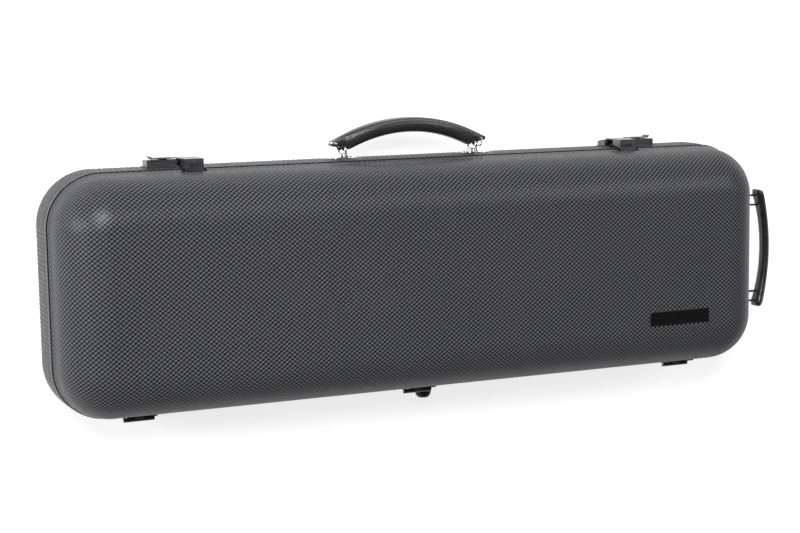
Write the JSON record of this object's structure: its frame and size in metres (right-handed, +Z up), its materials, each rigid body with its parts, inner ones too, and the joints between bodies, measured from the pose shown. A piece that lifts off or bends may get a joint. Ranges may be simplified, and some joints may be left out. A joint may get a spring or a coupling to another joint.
{
  "type": "violin case",
  "caption": "Oblong hard-shell violin case with an embossed lid, two latches, hinged lid, leather carrying handle and end handle, and a fitted interior.",
  "frame": {"origin": "on the ground, under the middle of the case's box, with the case lying on its back", "axes": "+X along the case towards the end handle, +Y across it from the hinges to the carrying handle, +Z up out of the lid"},
  "size_m": [0.8556, 0.3038, 0.1427],
  "materials": {
    "shell": "charcoal, embossed with rows of small shallow pits, smooth rolled edge at the seam",
    "lining": "short dark plush over foam",
    "webbing": "black woven webbing",
    "valance": "satin",
    "seal": "black, matt",
    "feet": "black, satin",
    "bushes": "black, satin",
    "leather": "black, smooth grain, piped edge and one row of stitches",
    "chrome": "polished",
    "latch_metal": "gunmetal, satin",
    "dark_steel": "black, satin",
    "nameplate": "black, blank"
  },
  "bodies": {
    "case_body": {"body_shell": "shell", "body_lining": "lining", "suspension_pad_lower": "lining", "suspension_pad_upper": "lining", "neck_cradle": "lining", "body_frame": "valance", "seam_gasket": "seal", "hinge_side_bumper": "feet", "foot_upper_left": "feet", "foot_upper_right": "feet", "foot_lower_left": "feet", "foot_lower_right": "feet", "handle_plate_left": "chrome", "handle_plate_right": "chrome", "end_plate_upper": "chrome", "end_plate_lower": "chrome", "hinge_pin_left": "chrome", "hinge_pin_centre": "chrome", "hinge_pin_right": "chrome", "latch_base_left": "latch_metal", "latch_base_right": "latch_metal", "latch_pin_left": "dark_steel", "latch_pin_right": "dark_steel", "accessory_lid_rod": "dark_steel", "hinge_leaf_body_left": "dark_steel", "hinge_leaf_body_centre": "dark_steel", "hinge_leaf_body_right": "dark_steel"},
    "lid": {"lid_shell": "shell", "lid_frame": "valance", "lid_lining": "lining", "nameplate": "nameplate", "strike_plate_left": "dark_steel", "strike_plate_right": "dark_steel", "hinge_leaf_lid_left": "dark_steel", "hinge_leaf_lid_centre": "dark_steel", "hinge_leaf_lid_right": "dark_steel", "bow_block_upper": "lining", "bow_block_lower": "lining", "bow_tip_pocket_upper": "lining", "bow_tip_pocket_lower": "lining"},
    "bow_spinner_upper": {"bow_spinner_upper": "lining"},
    "bow_spinner_lower": {"bow_spinner_lower": "lining"},
    "neck_strap": {"neck_strap": "webbing"},
    "accessory_lid": {"accessory_lid": "lining", "accessory_lid_tab": "webbing"},
    "latch_hasp_left": {"latch_hasp_left": "latch_metal"},
    "latch_hasp_right": {"latch_hasp_right": "latch_metal"},
    "latch_slide_left": {"latch_slide_left": "latch_metal"},
    "latch_slide_right": {"latch_slide_right": "latch_metal"},
    "handle_ring_left": {"handle_ring_left": "chrome"},
    "handle_ring_right": {"handle_ring_right": "chrome"},
    "handle": {"handle_pad": "leather", "handle_bush_left": "bushes", "handle_bush_right": "bushes"},
    "strap_ring_left": {"strap_ring_left": "chrome"},
    "strap_ring_right": {"strap_ring_right": "chrome"},
    "end_rings": {"end_ring_upper": "chrome", "end_ring_lower": "chrome"},
    "end_handle": {"end_handle_pad": "leather"}
  },
  "joints": [
    {"name": "lid_hinge", "type": "hinge", "parent": "case_body", "child": "lid", "pos_m": [-0.0254, -0.13975, 0.081], "axis": [1, 0, 0], "range_deg": [0, 105]},
    {"name": "bow_spinner_upper_turn", "type": "hinge", "parent": "lid", "child": "bow_spinner_upper", "pos_m": [0.2746, 0.02055, 0.122], "axis": [0, 0, -1], "range_deg": [-90, 90]},
    {"name": "bow_spinner_lower_turn", "type": "hinge", "parent": "lid", "child": "bow_spinner_lower", "pos_m": [0.2746, -0.04745, 0.122], "axis": [0, 0, -1], "range_deg": [-90, 90]},
    {"name": "neck_strap_lift", "type": "hinge", "parent": "case_body", "child": "neck_strap", "pos_m": [0.0506, -0.04645, 0.0813], "axis": [1, 0, 0], "range_deg": [0, 45]},
    {"name": "accessory_lid_hinge", "type": "hinge", "parent": "case_body", "child": "accessory_lid", "pos_m": [0.0946, -0.05795, 0.0823], "axis": [-1, 0, 0], "range_deg": [0, 80]},
    {"name": "latch_hasp_left_hinge", "type": "hinge", "parent": "case_body", "child": "latch_hasp_left", "pos_m": [-0.2759, 0.11575, 0.054], "axis": [-1, 0, 0], "range_deg": [0, 95]},
    {"name": "latch_slide_left_travel", "type": "slide", "parent": "case_body", "child": "latch_slide_left", "axis": [-1, 0, 0], "range_m": [0, 0.005], "stiffness_N_per_m": 300},
    {"name": "latch_hasp_right_hinge", "type": "hinge", "parent": "case_body", "child": "latch_hasp_right", "pos_m": [0.2251, 0.11575, 0.054], "axis": [-1, 0, 0], "range_deg": [0, 95]},
    {"name": "latch_slide_right_travel", "type": "slide", "parent": "case_body", "child": "latch_slide_right", "axis": [1, 0, 0], "range_m": [0, 0.005], "stiffness_N_per_m": 300},
    {"name": "handle_swing", "type": "hinge", "parent": "case_body", "child": "handle_ring_left", "pos_m": [-0.1017, 0.11355, 0.0466], "axis": [0, 0, -1], "range_deg": [-25, 25]},
    {"name": "handle_on_ring", "type": "hinge", "parent": "handle_ring_left", "child": "handle", "pos_m": [-0.1017, 0.12255, 0.0466], "axis": [0, 0, -1], "range_deg": [-25, 25]},
    {"name": "handle_ring_right_swing", "type": "hinge", "parent": "case_body", "child": "handle_ring_right", "pos_m": [0.0509, 0.11355, 0.0466], "axis": [0, 0, -1], "range_deg": [-25, 25]},
    {"name": "strap_ring_left_swing", "type": "hinge", "parent": "handle", "child": "strap_ring_left", "pos_m": [-0.1099, 0.12655, 0.0466], "axis": [0, 0, -1], "range_deg": [-115, 90]},
    {"name": "strap_ring_right_swing", "type": "hinge", "parent": "handle", "child": "strap_ring_right", "pos_m": [0.0591, 0.12655, 0.0466], "axis": [0, 0, -1], "range_deg": [-195, 8]},
    {"name": "end_rings_swing", "type": "hinge", "parent": "case_body", "child": "end_rings", "pos_m": [0.3798, -0.01595, 0.063], "axis": [0, 1, 0], "range_deg": [-45, 45]},
    {"name": "end_handle_rock", "type": "hinge", "parent": "end_rings", "child": "end_handle", "pos_m": [0.4156, -0.01595, 0.063], "axis": [0, 1, 0], "range_deg": [-12, 12]}
  ],
  "couplings": [
    {"joint": "handle_on_ring", "follows": "handle_swing", "ratio": -1},
    {"joint": "handle_ring_right_swing", "follows": "handle_swing", "ratio": 1}
  ]
}
